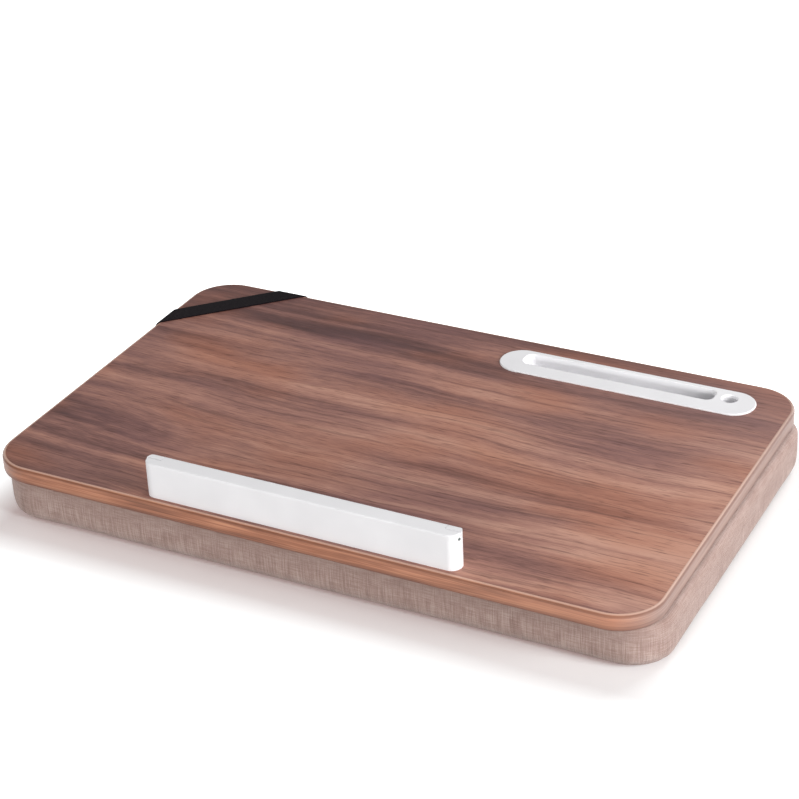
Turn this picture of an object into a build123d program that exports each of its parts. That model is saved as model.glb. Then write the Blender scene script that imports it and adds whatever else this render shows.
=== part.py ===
from build123d import *
import os
from math import cos, pi, radians, sin, sqrt

os.makedirs("parts", exist_ok=True)

# Lap desk: a walnut-look board on a foam cushion, with a white phone slot insert at the
# rear right, a lidded pen box along the front and an elastic strap over the rear left corner.
# Millimetres. The origin is on the ground under the middle of the board, +X runs to the
# user's right, +Y away from the user and +Z up.

# Board sizes
deck_width = 600.0
deck_depth = 376.5
deck_thickness = 15.0
deck_corner_radius = 38.6
top_laminate_thickness = 0.8
backing_laminate_thickness = 0.6
edge_band_thickness = 3.0
edge_band_round = 2.6

# Cushion sizes
cushion_height = 42.5
cushion_side_inset = 1.0
cushion_front_inset = 4.5
cushion_rear_inset = 6.0
cushion_side_crown = 1.0
cushion_front_crown = 1.0
cushion_corner_radius = 36.0
cushion_bottom_round = 12.0
cushion_top_round = 9.0
fabric_thickness = 1.0
hem_width = 22.0
foam_clearance = 0.3
base_panel_thickness = 3.0
base_panel_margin = 2.0

# Zip sizes, in the rear wall of the cushion
zip_opening_length = 412.0
zip_opening_height = 11.0
zip_chain_length = 400.0
zip_chain_gap = 1.0
zip_coil_width = 2.4
zip_coil_thickness = 2.0
zip_coil_round = 0.8
zip_tape_width = 7.0
zip_tape_thickness = 0.6
zip_stop_length = 3.0
zip_stop_round = 0.6
slider_length = 11.0
slider_width = 8.4
slider_plate_thickness = 1.2
slider_flange_thickness = 0.8
slider_post_thickness = 0.6
slider_clearance = 0.3
slider_lug_width = 1.0
slider_lug_radius = 1.2
slider_corner_round = 2.1
slider_post_length = 3.6
slider_flange_length = 5.5
slider_pin_radius = 0.6
pull_length = 24.0
pull_width = 7.0
pull_eye_width = 3.4
pull_window_radius = 1.75
pull_thickness = 1.2
pull_pin_clearance = 0.08

# Phone slot insert sizes
insert_width = 40.7
insert_side_margin = 33.0
insert_rear_margin = 19.75
insert_rim_height = 1.3
insert_rim_round = 1.0
insert_plate_thickness = 2.2
insert_wall = 2.0
insert_overhang = 2.5
insert_clearance = 0.3
insert_floor = 2.0
insert_foot_gap = 1.0
phone_slot_length = 180.0
phone_slot_width = 19.0
phone_slot_corner = 7.0
phone_slot_start_margin = 20.5
phone_slot_end_margin = 38.5
phone_slot_rear_margin = 5.0
phone_slot_edge_round = 0.8
pen_well_radius = 7.0
pen_well_end_margin = 25.0
pen_well_wall = 1.6
pen_well_depth = 12.0
insert_boss_radius = 3.6
insert_boss_count = 4
insert_boss_pitch = 52.0
insert_rib_thickness = 1.6
insert_rib_count = 3

# Pen box sizes
pen_box_length = 284.0
pen_box_depth = 17.5
pen_box_height = 32.0
pen_box_front_margin = 6.25
pen_box_wall = 2.0
pen_box_floor_height = 6.0
pen_box_floor_thickness = 2.0
pen_box_rib_thickness = 1.6
pen_box_rib_count = 7
pen_box_rib_pitch = 40.0
pen_box_boss_radius = 3.4
pen_box_boss_count = 4
pen_box_boss_pitch = 80.0
lid_thickness = 2.5
lid_edge_round = 1.5
lid_barrel_radius = 4.5
lid_gap = 0.3
lid_rib_thickness = 1.2
lid_rib_depth = 1.8
lid_rib_end_margin = 22.0
post_corner_chamfer = 0.8
hinge_post_length = 14.0
hinge_pin_radius = 1.25
hinge_pin_engagement = 8.5
hinge_pin_end_gap = 1.1
hinge_pin_recess = 2.0
hinge_pin_bore_clearance = 0.06
hinge_pin_seat_clearance = 0.02

# Corner strap sizes
strap_width = 20.0
strap_thickness = 1.2
strap_reach = 89.75
strap_underside_reach = 30.0
strap_pocket_margin = 1.0
strap_pocket_clearance = 0.1
strap_lower_bend = 0.4
staple_crown = 11.0
staple_wire_width = 1.2
staple_wire_thickness = 0.6
staple_leg_length = 7.0
staple_clearance = 0.05
staple_inset = 20.0
staple_pitch = 6.0

# Screw sizes
screw_shank_radius = 1.5
screw_head_radius = 3.1
screw_head_height = 1.2
screw_hole_clearance = 0.2
screw_pilot_clearance = 0.05
screw_head_clearance = 0.3
screw_bite = 8.0
pen_box_screw_head_height = 2.2
pen_box_screw_sink = 3.5
pen_box_screw_bite = 6.0
panel_screw_side_inset = 52.0
panel_screw_front_inset = 48.0
panel_screw_rear_inset = 72.0
panel_screw_row_count = 4

# How far a cutting shape runs past what it cuts
cut_margin = 1.0

# Levels worked out from the sizes
deck_bottom = cushion_height
deck_top = deck_bottom + deck_thickness
core_bottom = deck_bottom + backing_laminate_thickness
core_top = deck_top - top_laminate_thickness
half_width = deck_width / 2
half_depth = deck_depth / 2
panel_top = cushion_height - fabric_thickness
panel_bottom = panel_top - base_panel_thickness

# Screw hole radii
shank_hole = screw_shank_radius + screw_hole_clearance
head_hole = screw_head_radius + screw_head_clearance
pilot_hole = screw_shank_radius + screw_pilot_clearance


def save(shape, node):
    """Writes one sub-part."""
    export_step(shape, "parts/" + node + ".step")


def prism(outline, low, high):
    """A plan outline raised from one level to another."""
    return extrude(Pos(0, 0, low) * outline, high - low)


def stadium(length, width, centre):
    """A strip in plan with half-round ends."""
    return Pos(centre[0], centre[1]) * SlotOverall(length, width)


def block(low, high):
    """A block between two opposite corners."""
    size = [b - a for a, b in zip(low, high)]
    middle = [(a + b) / 2 for a, b in zip(low, high)]
    return Pos(*middle) * Box(*size)


def rod(radius, centre, low, high):
    """An upright round rod or hole between two levels."""
    return Pos(centre[0], centre[1], low) * extrude(Circle(radius), high - low)


def row(count, pitch):
    """Evenly spaced places, centred on zero."""
    return [(k - (count - 1) / 2) * pitch for k in range(count)]


def group(solids):
    """Like pieces kept as separate solids in one sub-part."""
    return Compound(children=list(solids))


def deck_outline(inset):
    """The board's rounded plan, drawn in by an inset."""
    radius = deck_corner_radius - inset
    return RectangleRounded(deck_width - 2 * inset, deck_depth - 2 * inset, radius)


# Phone slot insert, in plan: long enough for the slot and what stands at its two ends
insert_length = phone_slot_start_margin + phone_slot_length + phone_slot_end_margin
insert_centre = (
    half_width - insert_side_margin - insert_length / 2,
    half_depth - insert_rear_margin - insert_width / 2,
)
insert_right = insert_centre[0] + insert_length / 2
insert_rear = insert_centre[1] + insert_width / 2
insert_front = insert_centre[1] - insert_width / 2
slot_centre = (
    insert_right - phone_slot_end_margin - phone_slot_length / 2,
    insert_rear - phone_slot_rear_margin - phone_slot_width / 2,
)
pen_well_centre = (insert_right - pen_well_end_margin, slot_centre[1])
skirt_inset = insert_overhang + insert_clearance
channel_front = insert_front + skirt_inset + insert_wall
channel_rear = slot_centre[1] - phone_slot_width / 2 - insert_wall
channel_y = (channel_front + channel_rear) / 2
insert_screw_places = [
    (slot_centre[0] + x, channel_y) for x in row(insert_boss_count, insert_boss_pitch)
]
cut_out = stadium(
    insert_length - 2 * insert_overhang, insert_width - 2 * insert_overhang, insert_centre
)

# Pen box, in plan
pen_box_y = -half_depth + pen_box_front_margin + pen_box_depth / 2
pen_box_screw_places = [
    (x, pen_box_y) for x in row(pen_box_boss_count, pen_box_boss_pitch)
]

# Base panel screws, in plan
panel_screw_x = half_width - panel_screw_side_inset
panel_screw_pitch = 2 * panel_screw_x / (panel_screw_row_count - 1)
panel_screw_front = -half_depth + panel_screw_front_inset
panel_screw_rear = half_depth - panel_screw_rear_inset
panel_screw_places = [
    (x, y)
    for y in (panel_screw_front, panel_screw_rear)
    for x in row(panel_screw_row_count, panel_screw_pitch)
]
panel_screw_places += [
    (side * panel_screw_x, (panel_screw_front + panel_screw_rear) / 2) for side in (-1, 1)
]

# Strap path round the board's left edge. The strap lies on the board at 45 degrees to the
# edge, folds over it and runs on at 45 degrees under the board, as a taut band does.
staple_room = staple_wire_thickness + strap_pocket_clearance
pocket_depth = strap_thickness + staple_room
strap_ceiling = deck_bottom + pocket_depth
strap_slant_width = strap_width * sqrt(2)
bend_facets = 4
corner_plane = Plane(origin=(-half_width, half_depth, 0), z_dir=(1, 1, 0))


def bend_sections(centre_x, centre_z, radius, start):
    """Sections of the strap round one rounded edge, each on a tangent to the round."""
    half_step = radians(90 / bend_facets / 2)
    sections = []
    for k in range(bend_facets):
        turn = radians(start) + half_step * (2 * k + 1)
        reach = (radius + strap_thickness / 2) / cos(half_step)
        x = centre_x - reach * sin(turn)
        z = centre_z + reach * cos(turn)
        sections.append((x, z, turn, strap_thickness / cos(half_step)))
    return sections


def strap_wrap():
    """One end of the strap, from the board's top over its left edge to the staples."""
    top_z = deck_top + strap_thickness / 2
    under_z = strap_ceiling - strap_thickness / 2
    path = [(-half_width + strap_reach / 2, top_z, 0.0, strap_thickness)]
    path += bend_sections(
        -half_width + edge_band_round, deck_top - edge_band_round, edge_band_round, 0
    )
    path += bend_sections(
        -half_width + strap_lower_bend, strap_ceiling + strap_lower_bend, strap_lower_bend, 90
    )
    path.append((-half_width + strap_underside_reach, under_z, pi, strap_thickness))
    run = -strap_reach / 2
    faces = []
    before = path[0]
    for point in path:
        x, z, turn, thickness = point
        run += sqrt((x - before[0]) ** 2 + (z - before[1]) ** 2)
        before = point
        y = half_depth - strap_reach - run
        plane = Plane(origin=(x, y, z), x_dir=(0, 1, 0), z_dir=(-cos(turn), 0, -sin(turn)))
        faces.append(plane * Rectangle(strap_slant_width, thickness))
    return loft(faces, ruled=True), run


strap_end, strap_end_run = strap_wrap()
strap_under_y = half_depth - strap_reach - strap_end_run


def pocket_shape():
    """The relief under the board for one end of the strap, with its slanted sides."""
    tail_x = -half_width + strap_underside_reach
    reach_in = tail_x + strap_pocket_margin
    reach_out = -half_width - strap_thickness
    half_span = strap_slant_width / 2 + strap_pocket_margin * sqrt(2)
    y_in = strap_under_y - (reach_in - tail_x)
    y_out = strap_under_y + (tail_x - reach_out)
    outline = Polyline(
        (reach_in, y_in - half_span),
        (reach_in, y_in + half_span),
        (reach_out, y_out + half_span),
        (reach_out, y_out - half_span),
        close=True,
    )
    return prism(make_face(outline), deck_bottom - pocket_depth, strap_ceiling)


def staple_places():
    """Middle of each staple's crown at the strap's left end."""
    places = []
    for shift in row(2, staple_pitch):
        x = -half_width + staple_inset + shift
        y = strap_under_y + (-half_width + strap_underside_reach - x)
        places.append((x, y))
    return places


def staple(place, spare):
    """One wire staple driven up through the strap, its crown across the strap."""
    wire = staple_wire_width + 2 * spare
    leg = staple_wire_thickness + 2 * spare
    crown_z = strap_ceiling - strap_thickness - staple_wire_thickness
    leg_top = crown_z + staple_wire_thickness + staple_leg_length + spare
    crown_low = (-staple_crown / 2, -wire / 2, crown_z)
    crown_high = (staple_crown / 2, wire / 2, crown_z + staple_wire_thickness)
    shape = block(crown_low, crown_high)
    for side in (-1, 1):
        x = side * (staple_crown - staple_wire_thickness) / 2
        shape += block((x - leg / 2, -wire / 2, crown_z), (x + leg / 2, wire / 2, leg_top))
    return Pos(place[0], place[1], 0) * Rot(0, 0, 45) * shape


staples_left = [staple(place, 0.0) for place in staple_places()]
staple_holes_left = [staple(place, staple_clearance) for place in staple_places()]
staples = staples_left + [mirror(s, about=corner_plane) for s in staples_left]
staple_holes = staple_holes_left + [mirror(s, about=corner_plane) for s in staple_holes_left]
strap_pockets = [pocket_shape(), mirror(pocket_shape(), about=corner_plane)]


# Deck core, with the insert's cut-out, the strap's reliefs and the screw holes
def deck_holes():
    """Everything that is cut through or into the board."""
    below = deck_bottom - cut_margin
    above = deck_top + cut_margin
    holes = [prism(cut_out, below, above)]
    holes += strap_pockets
    for place in pen_box_screw_places:
        holes.append(rod(shank_hole, place, below, above))
        holes.append(rod(head_hole, place, below, deck_bottom + pen_box_screw_sink))
    for place in panel_screw_places:
        pilot_top = deck_bottom + screw_bite + screw_hole_clearance
        holes.append(rod(pilot_hole, place, below, pilot_top))
    return holes


board_holes = deck_holes()
deck_core = prism(deck_outline(edge_band_thickness), core_bottom, core_top)
deck_core -= board_holes
deck_core -= staple_holes
save(deck_core, "deck_core")

# Walnut-look top sheet and the balancing sheet on the underside
walnut_top_laminate = prism(deck_outline(edge_band_thickness), core_top, deck_top)
walnut_top_laminate -= board_holes
save(walnut_top_laminate, "walnut_top_laminate")
backing_laminate = prism(deck_outline(edge_band_thickness), deck_bottom, core_bottom)
backing_laminate -= board_holes
save(backing_laminate, "backing_laminate")

# Edge band, rounded above and below, with the strap's reliefs in its lower edge
band_outer = prism(deck_outline(0), deck_bottom, deck_top)
band_rims = band_outer.edges().group_by(Axis.Z)
band_outer = fillet(band_rims[0] + band_rims[-1], edge_band_round)
edge_band = band_outer - prism(deck_outline(edge_band_thickness), deck_bottom, deck_top)
edge_band -= strap_pockets
save(edge_band, "edge_band")

# Corner strap: half of the run across the corner with one folded end, and its mirror image
corner_middle = (-half_width + strap_reach / 2, half_depth - strap_reach / 2)
strap_run = Rot(0, 0, 45) * Box(strap_reach * sqrt(2) / 2, strap_width, strap_thickness)
strap_run = Pos(corner_middle[0], corner_middle[1], deck_top + strap_thickness / 2) * strap_run
strap_half = split(strap_run + strap_end, bisect_by=corner_plane, keep=Keep.BOTTOM)
corner_strap = strap_half + mirror(strap_half, about=corner_plane)
corner_strap -= edge_band
corner_strap -= staple_holes
save(corner_strap, "corner_strap")
save(group(staples), "strap_staples")


# Phone slot insert: a rimmed plate on a skirt, with the phone trough, the pen well, the
# screw bosses and the ribs under it
def phone_slot_outline(spare):
    """The slot's plan, grown by its wall."""
    size = (phone_slot_length + 2 * spare, phone_slot_width + 2 * spare)
    return Pos(*slot_centre) * RectangleRounded(*size, phone_slot_corner + spare)


def inset_stadium(inset):
    """The insert's plan drawn in by an inset."""
    return stadium(insert_length - 2 * inset, insert_width - 2 * inset, insert_centre)


insert_foot = deck_bottom + insert_foot_gap
plate_top = deck_top + insert_rim_height
plate_bottom = plate_top - insert_plate_thickness
insert_plate = prism(inset_stadium(0), deck_top, plate_top)
insert_plate = fillet(insert_plate.edges().group_by(Axis.Z)[-1], insert_rim_round)
skirt_outer = prism(inset_stadium(skirt_inset), insert_foot, deck_top)
skirt_hollow = prism(inset_stadium(skirt_inset + insert_wall), insert_foot, plate_bottom)
pen_well_floor = plate_top - pen_well_depth
trough = prism(phone_slot_outline(insert_wall), insert_foot, plate_bottom)
pen_well = rod(
    pen_well_radius + pen_well_wall, pen_well_centre, pen_well_floor - insert_floor, plate_bottom
)
phone_slot_insert = insert_plate + (skirt_outer - skirt_hollow)
phone_slot_insert += (trough + pen_well) & skirt_outer
for x in row(insert_rib_count, insert_boss_pitch):
    rib_x = slot_centre[0] + x
    low = (rib_x - insert_rib_thickness / 2, channel_front - insert_wall / 2, insert_foot)
    high = (rib_x + insert_rib_thickness / 2, channel_rear + insert_wall / 2, plate_bottom)
    phone_slot_insert += block(low, high) & skirt_outer
for place in insert_screw_places:
    phone_slot_insert += rod(insert_boss_radius, place, insert_foot, plate_bottom)
phone_slot_insert -= prism(phone_slot_outline(0), insert_foot + insert_floor, plate_top)
phone_slot_insert -= rod(pen_well_radius, pen_well_centre, pen_well_floor, plate_top)
mouth_edges = phone_slot_insert.edges().filter_by_position(Axis.Z, plate_top, plate_top)
mouth_edges = [e for e in mouth_edges if e.length < insert_length - insert_width]
phone_slot_insert = fillet(mouth_edges, phone_slot_edge_round)
for place in insert_screw_places:
    pilot_top = insert_foot + screw_bite + screw_hole_clearance
    phone_slot_insert -= rod(pilot_hole, place, insert_foot, pilot_top)
save(phone_slot_insert, "phone_slot_insert")

# Pen box: levels above the board and the hinge axis at the top rear edge
box_rim = deck_top + pen_box_height - lid_thickness
box_top = deck_top + pen_box_height
box_floor = deck_top + pen_box_floor_height + pen_box_floor_thickness
box_rear = pen_box_y + pen_box_depth / 2
box_front = pen_box_y - pen_box_depth / 2
hinge_y = box_rear - lid_barrel_radius
hinge_z = box_top - lid_barrel_radius
box_reach = pen_box_length / 2
barrel_reach = box_reach - hinge_post_length
post_start = barrel_reach + lid_gap
post_front = hinge_y - lid_barrel_radius


def box_outline(inset):
    """The pen box in plan, drawn in by an inset."""
    size = (pen_box_length - 2 * inset, pen_box_depth - 2 * inset)
    return stadium(*size, (0, pen_box_y))


def along_x(radius, low, high):
    """A round rod or bore on the hinge axis."""
    disc = Plane(origin=(low, hinge_y, hinge_z), z_dir=(1, 0, 0)) * Circle(radius)
    return extrude(disc, high - low)


def hinge_post(low, high):
    """A strip along X round the hinge axis, its top rear edge round and its front one cut off."""
    corner = Polyline(
        (low, hinge_y, box_top),
        (low, post_front, box_top),
        (low, post_front, box_floor),
        (low, box_rear, box_floor),
        (low, box_rear, hinge_z),
    )
    bend_middle = lid_barrel_radius * sqrt(2) / 2
    bend = ThreePointArc(
        (low, box_rear, hinge_z),
        (low, hinge_y + bend_middle, hinge_z + bend_middle),
        (low, hinge_y, box_top),
    )
    section = make_face([*corner.edges(), *bend.edges()])
    post = extrude(section, high - low, dir=(1, 0, 0))
    front_top = post.edges().filter_by(Axis.X).group_by(Axis.Z)[-1].sort_by(Axis.Y)[0]
    return chamfer(front_top, post_corner_chamfer)


hollow = prism(box_outline(pen_box_wall), box_floor, box_rim)
under_floor = prism(box_outline(pen_box_wall), deck_top, deck_top + pen_box_floor_height)
pen_box_body = prism(box_outline(0), deck_top, box_rim) - hollow - under_floor
for x in row(pen_box_rib_count, pen_box_rib_pitch):
    low = (x - pen_box_rib_thickness / 2, box_front + pen_box_wall / 2, deck_top)
    high = (x + pen_box_rib_thickness / 2, box_rear - pen_box_wall / 2, box_floor)
    pen_box_body += block(low, high)
for place in pen_box_screw_places:
    pen_box_body += rod(pen_box_boss_radius, place, deck_top, box_floor)
pen_box_body -= block(
    (-post_start, post_front, hinge_z),
    (post_start, box_rear + cut_margin, box_rim + cut_margin),
)
pen_box_body -= along_x(lid_barrel_radius + lid_gap, -post_start, post_start)
whole_outline = prism(box_outline(0), deck_top, box_top)
for side in (-1, 1):
    inner = side * post_start
    post = hinge_post(min(inner, side * box_reach), max(inner, side * box_reach))
    pen_box_body += post & whole_outline
pin_seat = hinge_pin_radius + hinge_pin_seat_clearance
pen_box_body -= along_x(pin_seat, -box_reach - cut_margin, box_reach + cut_margin)
for place in pen_box_screw_places:
    pilot_top = deck_top + pen_box_screw_bite + screw_hole_clearance
    pen_box_body -= rod(pilot_hole, place, deck_top, pilot_top)
save(pen_box_body, "pen_box_body")

# Pen box lid: the plate with its rounded edge, the hinge barrel and the locating rib
lid_plate = prism(box_outline(0), box_rim, box_top)
lid_plate = fillet(lid_plate.edges().group_by(Axis.Z)[-1], lid_edge_round)
lid_plate -= block(
    (-box_reach - cut_margin, hinge_y, box_rim - cut_margin),
    (box_reach + cut_margin, box_rear + cut_margin, box_top + cut_margin),
)
post_sweep = sqrt(lid_barrel_radius**2 + (lid_barrel_radius - post_corner_chamfer) ** 2)
for side in (-1, 1):
    inner = side * barrel_reach
    outer = side * (box_reach + cut_margin)
    low = (min(inner, outer), post_front - lid_gap, box_rim - cut_margin)
    high = (max(inner, outer), box_rear + cut_margin, box_top + cut_margin)
    lid_plate -= block(low, high)
    lid_plate -= along_x(post_sweep + lid_gap, min(inner, outer), max(inner, outer))
barrel = along_x(lid_barrel_radius, -barrel_reach, barrel_reach)
rib_front = box_front + pen_box_wall + lid_gap
rib_reach = box_reach - lid_rib_end_margin
lid_rib = block(
    (-rib_reach, rib_front, box_rim - lid_rib_depth),
    (rib_reach, rib_front + lid_rib_thickness, box_rim + lid_thickness / 2),
)
pen_box_lid = lid_plate + barrel + lid_rib
pin_bore = hinge_pin_radius + hinge_pin_bore_clearance
for side in (-1, 1):
    end = side * barrel_reach
    inside = end - side * (hinge_pin_engagement + hinge_pin_end_gap)
    pen_box_lid -= along_x(pin_bore, min(end, inside), max(end, inside))
save(pen_box_lid, "pen_box_lid")

# Hinge pins, pressed into the posts a little below their outer ends
pin_outer = box_reach - hinge_pin_recess
pin_inner = barrel_reach - hinge_pin_engagement
save(along_x(hinge_pin_radius, -pin_outer, -pin_inner), "lid_hinge_pin_left")
save(along_x(hinge_pin_radius, pin_inner, pin_outer), "lid_hinge_pin_right")


# Screws: a flat head with a plain shank, head down
def screw(place, seat, head_height, length):
    """One screw whose head bears upwards on its seat."""
    head = rod(screw_head_radius, place, seat - head_height, seat)
    return head + rod(screw_shank_radius, place, seat, seat + length)


pen_box_seat = deck_bottom + pen_box_screw_sink
pen_box_screw_length = deck_top + pen_box_screw_bite - pen_box_seat
panel_seat = panel_bottom + screw_head_height
panel_screw_length = deck_bottom + screw_bite - panel_seat
insert_screw_length = insert_foot + screw_bite - panel_seat
pen_box_screws = [
    screw(place, pen_box_seat, pen_box_screw_head_height, pen_box_screw_length)
    for place in pen_box_screw_places
]
base_panel_screws = [
    screw(place, panel_seat, screw_head_height, panel_screw_length)
    for place in panel_screw_places
]
insert_screws = [
    screw(place, panel_seat, screw_head_height, insert_screw_length)
    for place in insert_screw_places
]
save(group(pen_box_screws), "pen_box_screws")
save(group(base_panel_screws), "base_panel_screws")
save(group(insert_screws), "insert_screws")

# Cushion plan: bowed sides and front, a straight rear, rounded corners
cushion_rear = half_depth - cushion_rear_inset
cushion_front = -half_depth + cushion_front_inset + cushion_front_crown
cushion_side = half_width - cushion_side_inset - cushion_side_crown


def cushion_outline(inset):
    """The cushion in plan with square corners, drawn in by an inset."""
    middle = (cushion_front + cushion_rear) / 2
    bow = cushion_side + cushion_side_crown
    rear = Line((-cushion_side, cushion_rear), (cushion_side, cushion_rear))
    right = ThreePointArc(
        (cushion_side, cushion_rear), (bow, middle), (cushion_side, cushion_front)
    )
    front = ThreePointArc(
        (cushion_side, cushion_front),
        (0, cushion_front - cushion_front_crown),
        (-cushion_side, cushion_front),
    )
    left = ThreePointArc(
        (-cushion_side, cushion_front), (-bow, middle), (-cushion_side, cushion_rear)
    )
    face = make_face([*rear.edges(), *right.edges(), *front.edges(), *left.edges()])
    if inset > 0:
        face = offset(face, -inset, kind=Kind.INTERSECTION)
    return face


def cushion_slab(inset, low, high):
    """The cushion's plan with its rounded corners, raised between two levels."""
    body = prism(cushion_outline(inset), low, high)
    return fillet(body.edges().filter_by(Axis.Z), cushion_corner_radius - inset)


def cushion_form(inset, low, high):
    """The cushion's crowned block, drawn in by an inset, between two levels."""
    body = cushion_slab(inset, low, high)
    rims = body.edges().group_by(Axis.Z)
    body = fillet(rims[0], cushion_bottom_round - inset)
    rims = body.edges().group_by(Axis.Z)
    return fillet(rims[-1], cushion_top_round - inset)


# Cover: the side wall with its hem under the board, and the bottom panel
zip_z = (cushion_bottom_round + cushion_height - cushion_top_round) / 2
fabric_back = cushion_rear - fabric_thickness
bottom_seam = cushion_bottom_round + fabric_thickness
hem_inner = cushion_top_round + hem_width
cover = cushion_form(0, 0, cushion_height)
cover -= cushion_form(fabric_thickness, fabric_thickness, cushion_height - fabric_thickness)
cover -= cushion_slab(hem_inner, panel_top - cut_margin, cushion_height + cut_margin)
cover -= cushion_slab(bottom_seam, -cut_margin, fabric_thickness + cut_margin)
cover -= block(
    (-zip_opening_length / 2, fabric_back - cut_margin, zip_z - zip_opening_height / 2),
    (zip_opening_length / 2, cushion_rear + cut_margin, zip_z + zip_opening_height / 2),
)
save(cover, "cover_side_wall")
save(cushion_slab(bottom_seam, 0, fabric_thickness), "cover_bottom_panel")

# Base panel that clamps the hem, screwed up into the board and the insert
panel_inset = cushion_top_round + base_panel_margin
cushion_base_panel = cushion_slab(panel_inset, panel_bottom, panel_top)
for place in panel_screw_places + insert_screw_places:
    cushion_base_panel -= rod(shank_hole, place, panel_bottom, panel_top)
    cushion_base_panel -= rod(head_hole, place, panel_bottom, panel_seat)
save(cushion_base_panel, "cushion_base_panel")

# Zip: tapes behind the fabric, half a chain on each, stops at both ends
tape_back = fabric_back - zip_tape_thickness
chain_back = fabric_back
chain_front = chain_back + zip_coil_thickness
half_chain = zip_chain_length / 2
coil_low = zip_chain_gap / 2
coil_high = coil_low + zip_coil_width
tape_reach = zip_opening_length / 2 + zip_tape_width


def strip(x_reach, y_low, y_high, z_low, z_high, side):
    """A strip along the zip, above it for side 1 and below it for side -1."""
    low_z = zip_z + min(side * z_low, side * z_high)
    high_z = zip_z + max(side * z_low, side * z_high)
    return block((-x_reach, y_low, low_z), (x_reach, y_high, high_z))


for side, name in ((1, "upper"), (-1, "lower")):
    tape = strip(tape_reach, tape_back, fabric_back, coil_low, coil_low + zip_tape_width, side)
    save(tape, "zipper_tape_" + name)
    coil = strip(half_chain, chain_back, chain_front, coil_low, coil_high, side)
    coil_edges = coil.edges().filter_by(Axis.X).group_by(Axis.Y)[-1]
    coil = fillet(coil_edges, zip_coil_round)
    save(coil, "zipper_coil_" + name)

stop_blocks = []
for side in (-1, 1):
    near = side * half_chain
    far = side * (half_chain + zip_stop_length)
    low = (min(near, far), chain_back, zip_z - coil_high)
    high = (max(near, far), chain_front, zip_z + coil_high)
    stop_block = block(low, high)
    top_edges = stop_block.edges().group_by(Axis.Y)[-1]
    stop_blocks.append(fillet(top_edges, zip_stop_round))
save(group(stop_blocks), "zipper_stops")

# Zip slider: outer plate with folded flanges, inner plate, post between them and two lugs
slider_x = half_chain - slider_length / 2 - slider_clearance
slider_left = slider_x - slider_length / 2
slider_right = slider_x + slider_length / 2
outer_low = chain_front + slider_clearance
outer_high = outer_low + slider_plate_thickness
inner_high = tape_back - slider_clearance
inner_low = inner_high - slider_plate_thickness
slider_half = slider_width / 2
pull_y = outer_high + slider_pin_radius + slider_clearance + pull_thickness / 2
zipper_slider = block(
    (slider_left, outer_low, zip_z - slider_half), (slider_right, outer_high, zip_z + slider_half)
)
zipper_slider += block(
    (slider_left, inner_low, zip_z - slider_half), (slider_right, inner_high, zip_z + slider_half)
)
upright_edges = zipper_slider.edges().filter_by(Axis.Y)
zipper_slider = fillet(upright_edges, slider_corner_round)
zipper_slider += block(
    (slider_x - slider_post_length / 2, inner_high, zip_z - slider_post_thickness / 2),
    (slider_x + slider_post_length / 2, outer_low, zip_z + slider_post_thickness / 2),
)
for side in (-1, 1):
    outside = zip_z + side * slider_half
    inside = zip_z + side * (slider_half - slider_flange_thickness)
    flange_reach = slider_flange_length / 2
    low = (slider_x - flange_reach, fabric_back + slider_clearance, min(outside, inside))
    high = (slider_x + flange_reach, outer_low, max(outside, inside))
    zipper_slider += block(low, high)
    lug_near = zip_z + side * (pull_eye_width / 2 + slider_clearance)
    lug_far = lug_near + side * slider_lug_width
    lug_low = min(lug_near, lug_far)
    lug_high = lug_low + slider_lug_width
    zipper_slider += block(
        (slider_x - slider_lug_radius, outer_high, lug_low),
        (slider_x + slider_lug_radius, pull_y, lug_high),
    )
    zipper_slider += rod(slider_lug_radius, (slider_x, pull_y), lug_low, lug_high)
pin_reach = (pull_eye_width + slider_lug_width) / 2 + slider_clearance
zipper_slider += rod(
    slider_pin_radius, (slider_x, pull_y), zip_z - pin_reach, zip_z + pin_reach
)
save(zipper_slider, "zipper_slider")

# Zip pull: an eye on the slider's pin and a flat tab that widens to a round end
pull_bore = slider_pin_radius + pull_pin_clearance
eye_radius = pull_bore + pull_thickness / 2
tab_neck_x = slider_x - pull_thickness
tab_end_x = slider_x - pull_length + pull_width / 2
tab_neck = Pos(-tab_neck_x, zip_z) * Rectangle(pull_thickness, pull_eye_width)
tab_end = Pos(-tab_end_x, zip_z) * Circle(pull_width / 2)
tab_plan = make_hull([*tab_neck.edges(), *tab_end.edges()])
tab_window = Pos(-tab_end_x, zip_z) * Circle(pull_window_radius)
tab_plane = Plane(origin=(0, pull_y - pull_thickness / 2, 0), x_dir=(-1, 0, 0), z_dir=(0, 1, 0))
tab = extrude(tab_plane * (tab_plan - tab_window), pull_thickness)
eye_low = zip_z - pull_eye_width / 2
eye_high = zip_z + pull_eye_width / 2
zipper_pull = tab + rod(eye_radius, (slider_x, pull_y), eye_low, eye_high)
zipper_pull -= rod(
    pull_bore, (slider_x, pull_y), eye_low - cut_margin, eye_high + cut_margin
)
save(zipper_pull, "zipper_pull")

# Foam core, with the groove that the zip's tapes and the slider's inner plate run in
foam_inset = fabric_thickness + foam_clearance
foam_core = cushion_form(foam_inset, fabric_thickness, panel_bottom)
groove_reach = zip_tape_width + coil_low + foam_clearance
foam_core -= block(
    (-tape_reach - cut_margin, inner_low - slider_clearance, zip_z - groove_reach),
    (tape_reach + cut_margin, cushion_rear, zip_z + groove_reach),
)
save(foam_core, "foam_core")
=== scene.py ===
import math

import bmesh
import bpy
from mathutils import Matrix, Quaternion, Vector


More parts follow.
